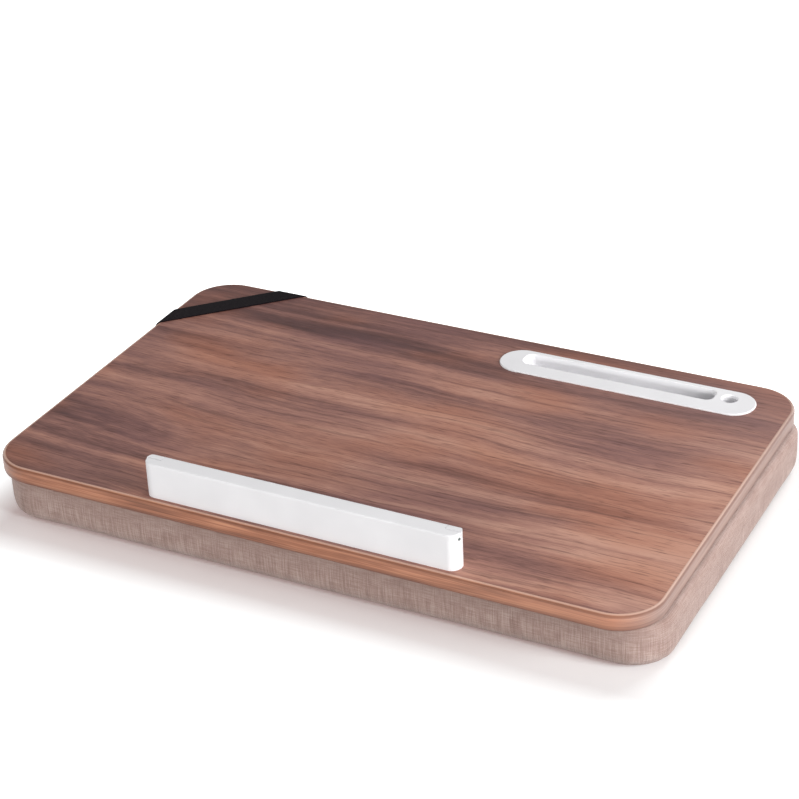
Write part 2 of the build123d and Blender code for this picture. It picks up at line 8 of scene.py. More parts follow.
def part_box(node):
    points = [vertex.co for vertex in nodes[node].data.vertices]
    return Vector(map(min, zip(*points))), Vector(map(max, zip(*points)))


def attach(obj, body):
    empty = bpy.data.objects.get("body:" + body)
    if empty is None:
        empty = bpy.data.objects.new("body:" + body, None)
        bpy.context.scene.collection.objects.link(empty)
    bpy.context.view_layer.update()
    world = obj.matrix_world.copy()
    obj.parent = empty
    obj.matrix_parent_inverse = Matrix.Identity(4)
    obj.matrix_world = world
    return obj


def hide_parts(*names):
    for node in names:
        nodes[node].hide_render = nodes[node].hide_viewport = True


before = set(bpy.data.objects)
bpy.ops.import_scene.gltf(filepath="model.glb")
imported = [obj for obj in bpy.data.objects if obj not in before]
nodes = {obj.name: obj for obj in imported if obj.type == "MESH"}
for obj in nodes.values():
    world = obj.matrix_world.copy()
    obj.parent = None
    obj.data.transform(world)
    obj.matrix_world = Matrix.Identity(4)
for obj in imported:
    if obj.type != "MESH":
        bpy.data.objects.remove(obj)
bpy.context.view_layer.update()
bpy.ops.object.select_all(action="DESELECT")

# Studio: the camera stands in front of the desk's right half and looks down on it. A white floor
# and a white room show behind the desk, and keep only the soft shadow round its foot.
mm = 0.001
board_low, board_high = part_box("edge_band")
scene = bpy.context.scene
scene.view_settings.view_transform = "Standard"
camera_azimuth = math.radians(28.21)
camera_elevation = math.radians(29.28)
camera_roll = math.radians(-2.578)
camera_place = Vector((0.7655, -1.4255, 0.9343 + board_high.z))
camera_back = Vector(
    (
        math.sin(camera_azimuth) * math.cos(camera_elevation),
        -math.cos(camera_azimuth) * math.cos(camera_elevation),
        math.sin(camera_elevation),
    )
)
bpy.ops.object.camera_add(location=camera_place)
camera = bpy.context.object
camera.data.sensor_width = 36.0
camera.data.lens = 98.27
camera.rotation_mode = "QUATERNION"
camera_aim = (-camera_back).to_track_quat("-Z", "Y")
camera.rotation_quaternion = camera_aim @ Quaternion((0, 0, 1), camera_roll)
scene.camera = camera


def srgb(red, green, blue):
    """A screen colour, 0 to 255, as the light values that shaders use."""
    linear = [((c / 255 + 0.055) / 1.055) ** 2.4 for c in (red, green, blue)]
    return (*linear, 1.0)


class Value:
    """A number on a socket. Arithmetic on it adds Math nodes."""

    def __init__(self, finish, socket):
        self.finish = finish
        self.socket = socket

    def math(self, operation, *parts):
        inputs = dict(enumerate(parts))
        made = self.finish.node("Math", {"operation": operation}, inputs)
        return Value(self.finish, made.outputs[0])

    def __add__(self, other):
        return self.math("ADD", self, other)

    def __radd__(self, other):
        return self.math("ADD", other, self)

    def __sub__(self, other):
        return self.math("SUBTRACT", self, other)

    def __rsub__(self, other):
        return self.math("SUBTRACT", other, self)

    def __mul__(self, other):
        return self.math("MULTIPLY", self, other)

    def __rmul__(self, other):
        return self.math("MULTIPLY", other, self)

    def __truediv__(self, other):
        return self.math("DIVIDE", self, other)

    def __rtruediv__(self, other):
        return self.math("DIVIDE", other, self)

    def sine(self):
        return self.math("SINE", self)

    def distance(self):
        return self.math("ABSOLUTE", self)

    def at_least(self, low):
        return self.math("MAXIMUM", self, low)

    def root(self):
        return self.math("SQRT", self)

    def limit(self, low, high):
        return self.math("MINIMUM", self.at_least(low), high)

    def share(self, low, high):
        """How far the number is from low to high, from 0 to 1."""
        return ((self - low) / (high - low)).limit(0.0, 1.0)


class Finish:
    """A material, and the one way in which nodes are added to it."""

    def __init__(self, name, **values):
        self.material = bpy.data.materials.new(name)
        self.material.use_nodes = True
        self.tree = self.material.node_tree
        self.shader = self.tree.nodes["Principled BSDF"]
        for socket, value in values.items():
            self.feed(self.shader.inputs[socket.replace("_", " ")], value)

    def feed(self, socket, value):
        """Gives a socket a value, or links another socket to it."""
        if isinstance(value, Value):
            value = value.socket
        if isinstance(value, bpy.types.NodeSocket):
            self.tree.links.new(value, socket)
        else:
            socket.default_value = value

    def node(self, kind, settings=None, inputs=None, stops=None):
        """A new node with its settings, its sockets' values or links, and a ramp's stops."""
        made = self.tree.nodes.new("ShaderNode" + kind)
        for name, value in (settings or {}).items():
            setattr(made, name, value)
        if stops:
            ramp = made.color_ramp.elements
            ramp[0].position, ramp[0].color = stops[0]
            ramp[1].position, ramp[1].color = stops[-1]
            for position, colour in stops[1:-1]:
                ramp.new(position).color = colour
        for key, value in (inputs or {}).items():
            self.feed(made.inputs[key], value)
        return made

    def object_place(self):
        """The point on the piece, as its x, y and z in metres."""
        place = self.node("TexCoord").outputs["Object"]
        apart = self.node("SeparateXYZ", inputs={"Vector": place})
        return [Value(self, apart.outputs[k]) for k in range(3)]

    def uv_place(self):
        """The point on the piece's own unrolled surface, in metres."""
        place = self.node("TexCoord").outputs["UV"]
        apart = self.node("SeparateXYZ", inputs={"Vector": place})
        return [Value(self, apart.outputs[k]) for k in range(2)]

    def noise(self, x, y, z=0.0, detail=2.0, roughness=0.5):
        """Soft random values of about 0.3 to 0.7 that change once for each unit of x, y and z."""
        place = self.node("CombineXYZ", inputs={"X": x, "Y": y, "Z": z}).outputs[0]
        inputs = {"Vector": place, "Scale": 1.0, "Detail": detail, "Roughness": roughness}
        return Value(self, self.node("TexNoise", inputs=inputs).outputs[0])

    def ramp(self, value, *stops):
        """Colours that follow a value."""
        return self.node("ValToRGB", inputs={"Fac": value}, stops=stops).outputs["Color"]

    def mixed(self, share, first, second):
        """The first colour, with a share of the second laid over it."""
        inputs = {"Factor": share, 6: first, 7: second}
        return self.node("Mix", {"data_type": "RGBA"}, inputs).outputs[2]

    def finish(self, colour, roughness=None, height=None, depth=0.0):
        """Links what changes over the surface: its colour, its roughness and its relief."""
        self.feed(self.shader.inputs["Base Color"], colour)
        if roughness is not None:
            self.feed(self.shader.inputs["Roughness"], roughness)
        if height is not None:
            inputs = {"Strength": 1.0, "Distance": depth, "Height": height}
            bump = self.node("Bump", inputs=inputs)
            self.feed(self.shader.inputs["Normal"], bump.outputs["Normal"])
        return self.material


# What the floor shows is the light on it plus a little glow, so that the shadow in front of the
# desk is warm and the one behind it is plain. The glow turns white beyond the shadow's reach.
front_floor = (0.85, 0.94, 0.948, 1.0)
rear_floor = (0.92, 0.94, 0.94, 1.0)
front_glow = (0.15, 0.05, 0.042, 1.0)
rear_glow = (0.07, 0.05, 0.05, 1.0)
white = (1.0, 1.0, 1.0, 1.0)
warm_edge, plain_edge = -160 * mm, -100 * mm
shadow_start, shadow_reach = 8.5 * mm, 85 * mm
shadow_middle = (22 * mm, -5 * mm)
bounce_colour = srgb(150, 146, 144)
floor_drop = 0.2 * mm
floor_size = 40.0
bpy.ops.mesh.primitive_plane_add(size=floor_size, location=(0, 0, -floor_drop))
floor = bpy.context.object
floor.name = "floor"
floor_finish = Finish("studio_floor")
ray = floor_finish.node("LightPath")
seen = Value(floor_finish, ray.outputs["Is Camera Ray"])
for ray_kind in ("Is Glossy Ray", "Is Transmission Ray"):
    seen = seen.at_least(ray.outputs[ray_kind])
x, y, z = floor_finish.object_place()
behind = y.share(warm_edge, plain_edge)
lit_colour = floor_finish.mixed(behind, front_floor, rear_floor)
lit = floor_finish.node("BsdfDiffuse", inputs={"Color": lit_colour})
away_x = ((x - shadow_middle[0]).distance() - board_high.x).at_least(0.0)
away_y = ((y - shadow_middle[1]).distance() - board_high.y).at_least(0.0)
away = (away_x * away_x + away_y * away_y).root()
glow_colour = floor_finish.mixed(behind, front_glow, rear_glow)
glow_colour = floor_finish.mixed(away.share(shadow_start, shadow_reach), glow_colour, white)
glow = floor_finish.node("Emission", inputs={"Color": glow_colour, "Strength": 1.0})
shown = floor_finish.node("AddShader", inputs={0: lit.outputs[0], 1: glow.outputs[0]})
bounce = floor_finish.node("BsdfDiffuse", inputs={"Color": bounce_colour})
either = floor_finish.node(
    "MixShader", inputs={0: seen, 1: bounce.outputs[0], 2: shown.outputs[0]}
)
floor_output = floor_finish.tree.nodes["Material Output"]
floor_finish.tree.links.new(either.outputs[0], floor_output.inputs["Surface"])
floor.data.materials.append(floor_finish.material)

# The room is white to the camera. It lights the desk and shows in its gloss more dimly.
room_glow = 0.2
room_gloss = 0.41
room = bpy.data.worlds.new("studio_room")
scene.world = room
room.use_nodes = True
room_nodes = room.node_tree.nodes
room_light = room_nodes["Background"]
room_light.inputs["Color"].default_value = white
room_light.inputs["Strength"].default_value = room_glow
room_shown = room_nodes.new("ShaderNodeBackground")
room_shown.inputs["Color"].default_value = white
room_ray = room_nodes.new("ShaderNodeLightPath")
room_seen = room_nodes.new("ShaderNodeMath")
room_seen.operation = "MULTIPLY_ADD"
room_seen.use_clamp = True
room.node_tree.links.new(room_ray.outputs["Is Glossy Ray"], room_seen.inputs[0])
room_seen.inputs[1].default_value = room_gloss
room.node_tree.links.new(room_ray.outputs["Is Camera Ray"], room_seen.inputs[2])
room_mix = room_nodes.new("ShaderNodeMixShader")
room.node_tree.links.new(room_seen.outputs[0], room_mix.inputs[0])
room.node_tree.links.new(room_light.outputs[0], room_mix.inputs[1])
room.node_tree.links.new(room_shown.outputs[0], room_mix.inputs[2])
room.node_tree.links.new(room_mix.outputs[0], room_nodes["World Output"].inputs["Surface"])

# The low lamp on the right is the key. Neither it nor the front lamp is mirrored in the board, so
# that the board keeps its colour when it is seen from behind or from the left.
lamps = {
    "rear_left_fill": {"place": (-2.7, 0.8, 0.6), "size": (1.6, 0.7), "watts": 12.0},
    "key_lamp": {"place": (2.6, -0.4, 0.95), "size": (1.2, 1.2), "watts": 86.0},
    "front_lamp": {"place": (-0.4, -2.7, 0.6), "size": (2.2, 0.8), "watts": 47.0},
    "rear_fill": {"place": (0.9, 2.8, 0.5), "size": (1.6, 0.7), "watts": 18.0},
    "rear_lamp": {"place": (0.6, 1.9, 2.3), "size": (1.3, 1.3), "watts": 28.0},
}
for lamp_name, lamp_facts in lamps.items():
    lamp_place = Vector(lamp_facts["place"])
    bpy.ops.object.light_add(type="AREA", location=lamp_place)
    lamp = bpy.context.object
    lamp.name = lamp_name
    lamp.data.shape = "RECTANGLE"
    lamp.data.size, lamp.data.size_y = lamp_facts["size"]
    lamp.data.energy = lamp_facts["watts"]
    lamp.visible_glossy = lamp_name.startswith("rear")
    lamp.rotation_mode = "QUATERNION"
    lamp.rotation_quaternion = (-lamp_place).to_track_quat("-Z", "Y")

# Board: a fibreboard core with a walnut-look laminate pressed on its top and a plain balancing
# sheet glued under it. All three are flat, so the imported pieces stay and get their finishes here.
board_thickness = board_high.z - board_low.z


def give(node, finish):
    """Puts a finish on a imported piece."""
    for place in nodes[node].material_slots:
        place.material = finish


walnut = Finish(
    "walnut_laminate", Coat_Weight=0.03, Coat_Roughness=0.4, Specular_IOR_Level=0.28
)
x, y, z = walnut.object_place()
sway = walnut.noise(x * 2.6 + 3.1, y * 5.0, detail=2.0)
wobble = walnut.noise(x * 16.0, y * 34.0, detail=2.0)
knot_place = (-262 * mm, -88 * mm)
knot_length = 0.10
flame_turn = 620.0
knot_x = x - knot_place[0]
knot_y = y - knot_place[1]
knot_reach = (knot_x * knot_x * knot_length + knot_y * knot_y).root() + (wobble - 0.5) * 0.016
near_knot = 1 - knot_reach.share(8 * mm, 55 * mm)
flame = (knot_reach * flame_turn).sine() * 0.5 + 0.5
ring = y + (sway - 0.5) * 0.05 + (wobble - 0.5) * 0.005
bands = walnut.noise(x * 3.0, ring * 62.0, detail=4.0, roughness=0.6)
patches = walnut.noise(x * 2.6 + 7.0, ring * 27.0, detail=3.0)
fibres = walnut.noise(x * 70.0, ring * 900.0, detail=3.0, roughness=0.6)
dashes = walnut.noise(x * 46.0 + 4.0, y * 640.0, detail=2.0)
warmth = walnut.noise(x * 6.0 + 2.0, ring * 13.0 + 5.0, detail=2.0)
veins = walnut.noise(x * 4.0 + 9.0, ring * 230.0, detail=3.0, roughness=0.6)
tone = (bands - 0.5) * 0.85 + (patches - 0.5) * 1.05 + (fibres - 0.5) * 0.45 + 0.5
# The board is lighter to the right and darker towards its front and rear edges. The lightening to
# the right, strongest near the right end, is painted light from the key lamp
tone = tone + x * 0.27 + 0.145 - y * y * 2.6 - y.share(0.05, 0.12) * 0.13
tone = tone + x.share(0.18, 0.30) * 0.14
tone = tone - near_knot * 0.08 + (flame - 0.5) * near_knot * 0.10
wood = walnut.ramp(
    tone,
    (0.16, srgb(74, 47, 46)),
    (0.34, srgb(106, 71, 66)),
    (0.50, srgb(138, 97, 88)),
    (0.66, srgb(168, 121, 106)),
    (0.86, srgb(196, 149, 130)),
)
wood = walnut.mixed(warmth.share(0.5, 0.66) * 0.35, wood, srgb(172, 104, 70))
wood = walnut.mixed((1 - warmth.share(0.34, 0.5)) * 0.30, wood, srgb(112, 78, 82))
wood = walnut.mixed(veins.share(0.54, 0.66) * 0.45, wood, srgb(88, 56, 50))
rear_right = y.share(0.02, 0.15) * x.share(0.0, 0.2)
wood = walnut.mixed(rear_right * 0.35, wood, srgb(124, 95, 93))
dash_marks = dashes.share(0.57, 0.67)
wood = walnut.mixed(dash_marks * 0.40, wood, srgb(72, 44, 38))
walnut.finish(
    wood,
    roughness=0.48 + (fibres - 0.5) * 0.25 + dash_marks * 0.1,
    height=fibres * 0.6 - dash_marks,
    depth=0.03 * mm,
)
give("walnut_top_laminate", walnut.material)

fibreboard = Finish("fibreboard", Roughness=0.9)
x, y, z = fibreboard.object_place()
chips = fibreboard.noise(x * 900.0, y * 900.0, z * 1400.0, detail=4.0, roughness=0.7)
board_colour = fibreboard.ramp(chips, (0.35, srgb(132, 104, 74)), (0.65, srgb(182, 152, 114)))
fibreboard.finish(board_colour, height=chips, depth=0.1 * mm)
give("deck_core", fibreboard.material)

backing = Finish("backing", Roughness=0.6)
x, y, z = backing.object_place()
backing_marks = backing.noise(x * 300.0, y * 300.0, detail=3.0)
backing_colour = backing.ramp(
    backing_marks, (0.3, srgb(92, 76, 66)), (0.7, srgb(112, 94, 82))
)
backing.finish(backing_colour, height=backing_marks, depth=0.04 * mm)
give("backing_laminate", backing.material)

# Edge band: a copper-brown strip glued round the board and rounded over above and below. Its
# printed grain runs along the band, a darker line follows its foot, and a painted highlight lies on
# its top rim.
band = Finish("edge_band", Coat_Weight=0.06, Coat_Roughness=0.35, Specular_IOR_Level=0.35)
x, y, z = band.object_place()
around = x + y
height = (z - board_low.z) / board_thickness
lines = band.noise(around * 11.0, z * 900.0, detail=3.0, roughness=0.6)
band_patches = band.noise(around * 17.0, z * 160.0, detail=2.0)
band_tone = (lines - 0.5) * 0.9 + (band_patches - 0.5) * 0.7 + 0.5
band_colour = band.ramp(
    band_tone,
    (0.25, srgb(118, 74, 55)),
    (0.50, srgb(162, 106, 80)),
    (0.75, srgb(198, 140, 109)),
)
# Painted light: the band's colours as washed pale by the key lamp on its right side
key_lit_side_colour = band.ramp(
    band_tone,
    (0.25, srgb(128, 102, 94)),
    (0.50, srgb(152, 124, 114)),
    (0.75, srgb(170, 143, 132)),
)
# Painted light: the band is paler towards the right and washed pale on its right side, where the
# key lamp falls. Painted shade darkens its left side
band_colour = band.mixed(x.share(0.02, 0.26) * 0.4, band_colour, srgb(200, 147, 124))
band_colour = band.mixed(x.share(0.272, 0.298), band_colour, key_lit_side_colour)
left_shade = 1 - x.share(-0.297, -0.270)
band_colour = band.mixed(left_shade * 0.5, band_colour, srgb(98, 66, 54))
foot = 1 - height.share(0.05, 0.40)
band_colour = band.mixed(foot * 0.7, band_colour, srgb(92, 60, 52))
brow = height.share(0.80, 0.88) * (1 - height.share(0.945, 0.97))
band_colour = band.mixed(brow * 0.55, band_colour, srgb(104, 66, 52))
rear_side = y.share(0.02, 0.17)
band_colour = band.mixed(rear_side * 0.45, band_colour, srgb(122, 99, 93))
# Painted highlight: a pale line along the top rim where the rounded edge catches the light, weaker
# at the rear
painted_rim_highlight = height.share(0.965, 0.985) * (1 - rear_side * 0.6)
band_colour = band.mixed(painted_rim_highlight * 0.75, band_colour, srgb(206, 168, 150))
band.finish(band_colour, roughness=0.4 + (lines - 0.5) * 0.2, height=lines, depth=0.02 * mm)
give("edge_band", band.material)

# Phone slot insert: one white injection-moulded part with a soft raised rim, let into the board
# and held by screws from below. Its spark-eroded texture only breaks up the gloss a little.
plastic = Finish("white_plastic", Specular_IOR_Level=0.45)
x, y, z = plastic.object_place()
grain = plastic.noise(x * 1500.0, y * 1500.0, z * 1500.0, detail=2.0)
cloud = plastic.noise(x * 22.0, y * 22.0, z * 22.0, detail=2.0)
plastic_colour = plastic.ramp(cloud, (0.3, srgb(231, 230, 232)), (0.7, srgb(238, 237, 239)))
plastic.finish(
    plastic_colour, roughness=0.38 + (grain - 0.5) * 0.16, height=grain, depth=0.012 * mm
)
give("phone_slot_insert", plastic.material)

# Pen box: a white moulded box, screwed on from below, whose flush lid turns on two steel pins at
# its top rear edge. The closed box is also the stop that a laptop leans on.
for box_node in ("pen_box_body", "pen_box_lid"):
    give(box_node, plastic.material)

steel = Finish("screw_steel", Metallic=1.0)
x, y, z = steel.object_place()
turning = steel.noise(x * 400.0, y * 400.0, z * 2600.0, detail=2.0)
steel_colour = steel.ramp(turning, (0.3, srgb(168, 168, 170)), (0.7, srgb(200, 199, 197)))
steel.finish(steel_colour, roughness=0.28 + turning * 0.2, height=turning, depth=0.01 * mm)
steel_nodes = (
    "lid_hinge_pin_left",
    "lid_hinge_pin_right",
    "pen_box_screws",
    "insert_screws",
    "base_panel_screws",
    "strap_staples",
)
for steel_node in steel_nodes:
    give(steel_node, steel.material)

# Pin hole: a small round hole in the right end of the box, a little way under its top edge. It is
# shown by a plug let into the end, which stands no prouder than the hole's burr. Its steel stands
# for the pin's end and is painted dark for the shade in the hole.
box_low, box_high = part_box("pen_box_body")
end_radius = (box_high.y - box_low.y) / 2
quarter = math.pi / 2
plug_radius = 1.35 * mm
plug_soft_edge = 0.12 * mm
plug_proud = 0.15 * mm
plug_depth = 1.0 * mm
plug_drop = 4.6 * mm
plug_turn = math.radians(-19)
plug_reach = end_radius + plug_proud - plug_depth / 2
plug_out = Vector((math.cos(plug_turn), math.sin(plug_turn), 0))
end_middle = Vector((box_high.x - end_radius, box_low.y + end_radius, box_high.z - plug_drop))
bpy.ops.mesh.primitive_cylinder_add(
    vertices=24,
    radius=plug_radius,
    depth=plug_depth,
    location=end_middle + plug_out * plug_reach,
    rotation=(0, quarter, plug_turn),
)
plug = bpy.context.object
plug.name = "pin_hole_shade_plug"
bpy.ops.object.transform_apply(location=True, rotation=True, scale=True)
bpy.ops.object.modifier_add(type="BEVEL")
plug.modifiers[-1].width = plug_soft_edge
plug.modifiers[-1].segments = 2
plug.modifiers[-1].limit_method = "ANGLE"
bpy.ops.object.modifier_apply(modifier=plug.modifiers[-1].name)
bpy.ops.object.shade_smooth_by_angle(angle=math.radians(40))
# Painted shade: the plug's steel is made dark for the shadow inside the pin hole
pin_hole_shade_steel = Finish("pin_hole_shade_steel", Roughness=0.6, Specular_IOR_Level=0.2)
x, y, z = pin_hole_shade_steel.object_place()
plug_marks = pin_hole_shade_steel.noise(x * 900.0, y * 900.0, z * 900.0)
pin_hole_shade_colour = pin_hole_shade_steel.ramp(plug_marks, (0.3, srgb(84, 93, 91)), (0.7, srgb(106, 115, 112)))
pin_hole_shade_steel.finish(pin_hole_shade_colour, height=plug_marks, depth=0.01 * mm)
plug.data.materials.append(pin_hole_shade_steel.material)
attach(plug, "desk")

# Corner strap: woven black elastic laid across the rear left corner at 45 degrees. It folds over
# both edges of the board and runs on under it to the staples.
strap_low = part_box("corner_strap")[0]
strap_thickness = 1.2 * mm
strap_width = 20.0 * mm
strap_reach = 89.75 * mm
strap_tail = 30.0 * mm
strap_lift = 0.02 * mm
strap_soft_edge = 0.25 * mm
upper_round = 2.6 * mm
lower_round = 0.4 * mm
tail_level = strap_low.z + strap_thickness
wall_length = board_high.z - upper_round - lower_round - tail_level
corner = Vector((board_low.x, board_high.y, 0))
diagonal = math.sqrt(2)


def fold_over_edge(run):
    """Distance in from the board's edge, level, and tilt of the strap's inner face.

    The run goes outwards and down, from where the board's top starts to round over.
    """
    if run < 0:
        return upper_round - run, board_high.z, 0.0
    if run < quarter * upper_round:
        tilt = run / upper_round
        inwards = upper_round * (1 - math.sin(tilt))
        return inwards, board_high.z - upper_round * (1 - math.cos(tilt)), tilt
    run -= quarter * upper_round
    if run < wall_length:
        return 0.0, board_high.z - upper_round - run, quarter
    run -= wall_length
    if run < quarter * lower_round:
        tilt = run / lower_round
        inwards = lower_round * (1 - math.cos(tilt))
        return inwards, tail_level + lower_round * (1 - math.sin(tilt)), quarter + tilt
    run -= quarter * lower_round
    return lower_round + run, tail_level, math.pi


flat_run = strap_reach / 2 - upper_round
whole_run = flat_run + quarter * (upper_round + lower_round) + wall_length
whole_run += strap_tail - lower_round
strap_length = 2 * diagonal * whole_run
bpy.ops.mesh.primitive_grid_add(x_subdivisions=480, y_subdivisions=20, size=1)
strap = bpy.context.object
strap.name = "corner_strap_elastic"
for vertex in strap.data.vertices:
    across = vertex.co.y * strap_width
    along = abs(vertex.co.x) * 2 * (diagonal * whole_run - across)
    run = (along + across) / diagonal
    inwards, level, tilt = fold_over_edge(run - flat_run)
    proud = strap_thickness / 2 + strap_lift
    inwards -= math.sin(tilt) * proud
    level += math.cos(tilt) * proud
    sideways = strap_reach / 2 + (along - across) / diagonal
    if vertex.co.x < 0:
        vertex.co = (corner.x + inwards, corner.y - sideways, level)
    else:
        vertex.co = (corner.x + sideways, corner.y - inwards, level)
bpy.ops.object.modifier_add(type="SOLIDIFY")
strap.modifiers[-1].thickness = strap_thickness
strap.modifiers[-1].offset = 0.0
bpy.ops.object.modifier_apply(modifier=strap.modifiers[-1].name)
bpy.ops.object.modifier_add(type="BEVEL")
strap.modifiers[-1].width = strap_soft_edge
strap.modifiers[-1].segments = 2
strap.modifiers[-1].limit_method = "ANGLE"
strap.modifiers[-1].angle_limit = math.radians(60)
bpy.ops.object.modifier_apply(modifier=strap.modifiers[-1].name)
bpy.ops.object.shade_smooth_by_angle(angle=math.radians(50))

elastic = Finish("black_elastic", Specular_IOR_Level=0.06)
u, v = elastic.uv_place()
rib_count = 11.0
pick_pitch = 1.1 * mm
ribs = (v * (rib_count * 2 * math.pi)).sine()
picks = (u * (strap_length / pick_pitch * 2 * math.pi)).sine()
fuzz = elastic.noise(u * (strap_length * 900.0), v * (strap_width * 900.0), detail=3.0)
strap_tone = ribs * 0.18 + picks * 0.12 + (fuzz - 0.5) * 0.9 + 0.5
strap_colour = elastic.ramp(
    strap_tone, (0.2, srgb(8, 6, 8)), (0.55, srgb(20, 16, 20)), (0.85, srgb(40, 32, 34))
)
elastic.finish(
    strap_colour,
    roughness=0.62 + (fuzz - 0.5) * 0.3,
    height=ribs * 0.6 + picks * 0.4,
    depth=0.12 * mm,
)
strap.data.materials.append(elastic.material)
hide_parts("corner_strap")
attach(strap, "desk")

# Cushion base panel: brown hardboard under the board, over the hem of the cover. Ten screws hold
# it and the cover up against the board.
hardboard = Finish("hardboard", Roughness=0.75)
x, y, z = hardboard.object_place()
pressed = hardboard.noise(x * 700.0, y * 700.0, z * 700.0, detail=4.0, roughness=0.7)
hardboard_colour = hardboard.ramp(pressed, (0.3, srgb(104, 76, 52)), (0.7, srgb(146, 112, 80)))
hardboard.finish(hardboard_colour, height=pressed, depth=0.08 * mm)
give("cushion_base_panel", hardboard.material)

# Cushion cover: linen-look cloth drawn tight over the foam. Its walls bow out between the
# corners and roll under the cushion at the foot, and its hem is clamped under the board.
cover_low, cover_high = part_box("cover_side_wall")
cover_crown = 1.0 * mm
cover_front_crown = 1.0 * mm
cover_corner = 35.0 * mm
cover_foot_round = 11.0 * mm
cover_top_round = 3.0 * mm
cover_spread = 8.0 * mm
cover_skew = 7.0 * mm
cover_bow = 1.2 * mm
cover_gap = 0.1 * mm
cover_ceiling = cover_high.z - cover_gap
cover_cell = 5.0 * mm
near = 0.01 * mm
half_x = cover_high.x - cover_crown
cover_front = cover_low.y + cover_front_crown
cover_rear = cover_high.y
half_y = (cover_rear - cover_front) / 2
middle_y = (cover_rear + cover_front) / 2


def pick_edges(piece, wanted):
    """Selects the edges whose two ends pass a test, in edit mode."""
    bpy.ops.mesh.select_all(action="DESELECT")
    bpy.ops.mesh.select_mode(type="EDGE")
    mesh = bmesh.from_edit_mesh(piece.data)
    for edge in mesh.edges:
        edge.select = wanted(edge.verts[0].co, edge.verts[1].co)
    bmesh.update_edit_mesh(piece.data)


def add_block(name, low, high):
    """A block between two opposite corners, with its place in its mesh."""
    middle = (low + high) / 2
    bpy.ops.mesh.primitive_cube_add(size=1, location=middle, scale=high - low)
    bpy.ops.object.transform_apply(location=True, rotation=True, scale=True)
    bpy.context.object.name = name
    return bpy.context.object


def add_cushion_form(name, low, high, corner_round, foot_round, top_round):
    """A block with round corners, a round foot and a rounded top edge."""
    form = add_block(name, low, high)
    bpy.ops.object.mode_set(mode="EDIT")
    pick_edges(form, lambda a, b: abs(a.z - b.z) > near)
    bpy.ops.mesh.bevel(offset=corner_round, segments=14, affect="EDGES")
    pick_edges(form, lambda a, b: max(a.z, b.z) < low.z + near)
    bpy.ops.mesh.bevel(offset=foot_round, segments=8, affect="EDGES")
    pick_edges(form, lambda a, b: min(a.z, b.z) > high.z - near)
    bpy.ops.mesh.bevel(offset=top_round, segments=6, affect="EDGES")
    bpy.ops.object.mode_set(mode="OBJECT")
    return form


cover = add_cushion_form(
    "cushion_cover",
    Vector((-half_x, cover_front, 0)),
    Vector((half_x, cover_rear, cover_ceiling)),
    cover_corner,
    cover_foot_round,
    cover_top_round,
)
bpy.ops.object.modifier_add(type="REMESH")
cover.modifiers[-1].mode = "VOXEL"
cover.modifiers[-1].voxel_size = cover_cell
bpy.ops.object.modifier_apply(modifier=cover.modifiers[-1].name)


def shape_cushion(piece):
    """Bows a cushion piece's walls, widens its right half and draws in its front right corner."""
    for vertex in piece.data.vertices:
        place = vertex.co
        side_share = 1 - ((place.y - middle_y) / half_y) ** 2
        front_share = 1 - (place.x / half_x) ** 2
        belly = math.sin(math.pi * min(1, max(0, place.z / cover_ceiling))) ** 0.6
        reach = abs(place.x) / half_x
        if place.y < middle_y:
            forwards = (middle_y - place.y) / half_y
            place.y -= cover_front_crown * front_share * belly * forwards**2
            place.y += cover_skew * (place.x / half_x + 1) / 2 * forwards
        place.x += math.copysign(cover_bow * side_share * belly * reach**2, place.x)
        place.x += cover_spread * max(0, place.x) / half_x


shape_cushion(cover)

# Air pressure swells the tight form for a moment. The soft cap keeps each point near its place,
# and the rear wall keeps flat for the zip.
cloth_frames = 20
cloth_pressure = 4.0
swell = 1.5 * mm
rear_zone = 4 * mm
rear_swell = 0.3 * mm
cover_taut = [v.co.copy() for v in cover.data.vertices]
bpy.ops.object.modifier_add(type="CLOTH")
cloth = cover.modifiers[-1]
cloth.settings.use_pressure = True
cloth.settings.uniform_pressure_force = cloth_pressure
cloth.settings.effector_weights.gravity = 0.0
for frame_number in range(1, cloth_frames + 1):
    scene.frame_set(frame_number)
bpy.ops.object.modifier_apply(modifier=cloth.name)
scene.frame_set(1)
for vertex, taut in zip(cover.data.vertices, cover_taut):
    move = vertex.co - taut
    move *= swell / (swell + move.length)
    if taut.y > cover_rear - rear_zone:
        move.y = min(move.y, rear_swell)
    vertex.co = taut + move
    vertex.co.z = min(cover_ceiling, max(0, vertex.co.z))
bpy.ops.object.modifier_add(type="SMOOTH")
cover.modifiers[-1].iterations = 1
bpy.ops.object.modifier_apply(modifier=cover.modifiers[-1].name)
bpy.ops.object.modifier_add(type="SUBSURF")
cover.modifiers[-1].levels = 1
cover.modifiers[-1].render_levels = 1
bpy.ops.object.modifier_apply(modifier=cover.modifiers[-1].name)
for vertex in cover.data.vertices:
    vertex.co.z = max(0, vertex.co.z)

straight_x = half_x - cover_corner
straight_y = half_y - cover_corner
bend = quarter * cover_corner
cover_around = 4 * (straight_x + straight_y + bend)


